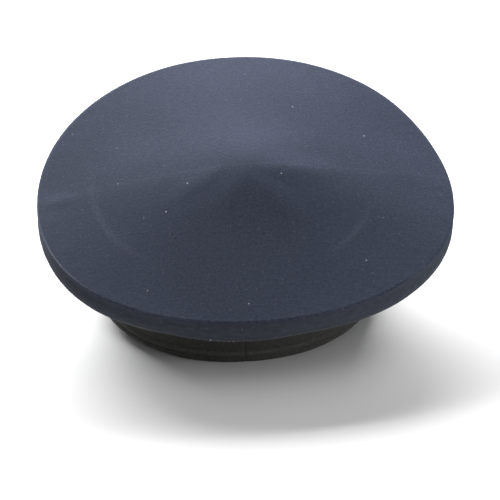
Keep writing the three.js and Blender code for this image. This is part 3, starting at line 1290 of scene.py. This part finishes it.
@dataclass
class Peak:
    """The plain stiff peak, a crescent that falls away from the band's lower edge."""

    half_span: float = 65.0
    projection: float = 46.0
    end_projection: float = 4.0
    drop: float = 29.0
    thickness: float = 2.0
    bluntness: float = 2.2
    fullness: float = 0.8
    drop_flatness: float = 2.5
    forward_sweep: float = 0.5
    curl: float = 1.2
    clear_of_band: float = 0.9
    rounding: float = 0.7
    nose_turns: tuple[float, ...] = (60.0, 30.0, 0.0, -30.0, -60.0)
    sections: int = 241
    rows: int = 28

    def lower_face(self, side: np.ndarray, part: np.ndarray) -> np.ndarray:
        """Points of the lower face.

        Args:
            side: Places from -1 at one end to 1 at the other.
            part: Parts of the way from the band to the front edge.

        Returns:
            Points of the cap, in millimetres.
        """
        angle = math.pi + side * math.radians(self.half_span)
        start = BAND_OVAL.beside(angle, self.clear_of_band, 0.0)
        away_x, away_y = BAND_OVAL.outward(angle)
        ahead_x = away_x * (1 - self.forward_sweep)
        ahead_y = away_y * (1 - self.forward_sweep) - self.forward_sweep
        long = np.hypot(ahead_x, ahead_y)
        taper = (1 - np.abs(side) ** self.bluntness) ** self.fullness
        reach = self.end_projection + (self.projection - self.end_projection) * taper
        fall = self.drop * (1 - np.abs(side) ** self.drop_flatness)
        x = start[..., 0] + ahead_x / long * reach * part
        y = start[..., 1] + ahead_y / long * reach * part
        z = start[..., 2] - fall * part**self.curl
        return np.stack([x, y, z], -1)

    def front_edge(self) -> np.ndarray:
        """Points of the lower front edge."""
        return self.lower_face(np.linspace(-1.0, 1.0, self.sections), np.array(1.0))

    def build(self, rest: RestPose) -> bpy.types.Object:
        """Makes the peak and dresses it.

        Args:
            rest: Pose of the cap on the floor.

        Returns:
            The piece.
        """
        side = np.linspace(-1.0, 1.0, self.sections)[:, None]
        rounded = 1.0 - self.rounding / self.projection
        part = np.linspace(0.0, rounded, self.rows)[None, :]
        lower = self.lower_face(side, part)
        upper = lower + np.array([0.0, 0.0, self.thickness])
        turn = np.radians(self.nose_turns)[None, :]
        nose = self.lower_face(side, rounded + (1.0 - rounded) * np.cos(turn))
        nose[..., 2] += self.thickness / 2 * (1.0 + np.sin(turn))
        points = rest.place(np.concatenate([upper, nose, lower[:, ::-1]], 1))
        mesh = SweptMesh("peak_leather", points, flat_map(points, True, False), Ends.CAPPED)
        return dress(mesh.build(), LEATHER.material(), Slot.PEAK, "peak")


@dataclass(frozen=True)
class SoftLight:
    """A soft studio panel that faces the cap."""

    name: str
    place: tuple[float, float, float]
    width: float
    height: float
    watts: float

    def build(self, target: Vector) -> bpy.types.Object:
        """Adds the panel.

        Args:
            target: Point that it faces.

        Returns:
            The light.
        """
        data = bpy.data.lights.new(self.name, "AREA")
        data.shape = "RECTANGLE"
        data.size, data.size_y = self.width, self.height
        data.energy = self.watts
        made = linked(self.name, data)
        made.location = self.place
        made.rotation_euler = (target - Vector(self.place)).to_track_quat("-Z", "Y").to_euler()
        return made


@dataclass
class Studio:
    """Floor, light and the camera at the photograph's angle to the cap.

    The camera's angles are in degrees and its distance in millimetres, from the middle of the band's lower
    edge. The floor and the lights are in metres.
    """

    rest: RestPose
    elevation: float = 28.0
    turn: float = -2.65
    roll: float = -2.22
    distance: float = 1250.0
    pixels_per_mm: float = 1.586
    band_pixel: tuple[float, float] = (237.3, 280.1)
    sensor: float = 36.0
    floor_side: float = 12.0
    world_strength: float = 0.685
    dimmer_left: float = 0.35
    dimming: tuple[float, float] = (0.1, 0.9)
    lit_point: tuple[float, float, float] = (0.0, 0.0, 0.06)
    panels: tuple[SoftLight, ...] = field(
        default_factory=lambda: (
            SoftLight("far_panel", (0.45, -2.95, 1.4), 3.2, 1.0, 450.0),
            SoftLight("right_panel", (-2.9, 0.9, 0.5), 1.6, 0.8, 31.0),
        )
    )

    def add_floor(self) -> None:
        """Adds the plain floor."""
        half = self.floor_side / 2
        mesh = bpy.data.meshes.new("floor")
        corners = [(-half, -half, 0.0), (half, -half, 0.0), (half, half, 0.0), (-half, half, 0.0)]
        mesh.from_pydata(corners, [], [(0, 1, 2, 3)])
        mesh.materials.append(PaleFloor().material())
        linked("floor", mesh)

    def add_light(self) -> None:
        """Adds the panels and a white surround that is dimmer on the left."""
        world = bpy.data.worlds.new("white_surround")
        world.use_nodes = True
        nodes, links = world.node_tree.nodes, world.node_tree.links
        background = nodes["Background"]
        background.inputs["Color"].default_value = (1.0, 1.0, 1.0, 1.0)
        toward = nodes.new("ShaderNodeSeparateXYZ")
        links.new(nodes.new("ShaderNodeTexCoord").outputs["Generated"], toward.inputs[0])
        strength = nodes.new("ShaderNodeMapRange")
        strength.interpolation_type = "SMOOTHSTEP"
        limits = (*self.dimming, self.world_strength, self.world_strength * self.dimmer_left)
        for place, limit in enumerate(limits, start=1):
            strength.inputs[place].default_value = limit
        links.new(toward.outputs["X"], strength.inputs[0])
        links.new(strength.outputs[0], background.inputs["Strength"])
        bpy.context.scene.world = world
        for panel in self.panels:
            panel.build(Vector(self.lit_point))

    def add_camera(self) -> None:
        """Adds the camera, with the band's middle at its pixel of the photograph."""
        high, aside, lean = (math.radians(a) for a in (self.elevation, self.turn, self.roll))
        back = Vector((-math.sin(aside) * math.cos(high), math.cos(aside) * math.cos(high), math.sin(high)))
        level = Vector((-math.cos(aside), -math.sin(aside), 0.0))
        upright = back.cross(level)
        right = level * math.cos(lean) + upright * math.sin(lean)
        up = upright * math.cos(lean) - level * math.sin(lean)
        focal = self.pixels_per_mm * self.distance
        across = (IMAGE_SIDE / 2 - self.band_pixel[0]) / focal
        above = (self.band_pixel[1] - IMAGE_SIDE / 2) / focal
        looking = (-back + right * across + up * above).normalized()
        right = (right - looking * right.dot(looking)).normalized()
        up = right.cross(looking)
        data = bpy.data.cameras.new("camera")
        data.sensor_width = self.sensor
        data.lens = focal / IMAGE_SIDE * self.sensor
        data.clip_end = 100.0
        camera = linked("camera", data)
        lay = Matrix.Rotation(-self.rest.tilt, 4, "X")
        camera.matrix_world = lay @ Matrix((right, up, -looking)).transposed().to_4x4()
        camera.location = self.rest.matrix() @ (back * self.distance)
        bpy.context.scene.camera = camera
        bpy.context.scene.view_settings.view_transform = "Standard"

    def build(self) -> None:
        """Makes the whole studio."""
        self.add_camera()
        self.add_floor()
        self.add_light()
        log.info("studio ready")


def main() -> None:
    """Builds the studio and the cap's pieces in order, and reports each piece."""
    logging.basicConfig(level=logging.INFO, format="%(message)s")
    peak = Peak()
    rest = RestPose.found(peak.front_edge())
    Studio(rest).build()
    rim = CrownRim(rest)
    pieces = [
        CrownTop(rest).build(),
        rim.build(),
        CrownUnder(rest, rim).build(),
        Band(rest).build(),
        Stitching(rest, rim).build(),
        peak.build(rest),
    ]
    for piece in pieces:
        log.info("made %s with %d faces", piece.name, len(piece.data.polygons))


if __name__ == "__main__":
    main()
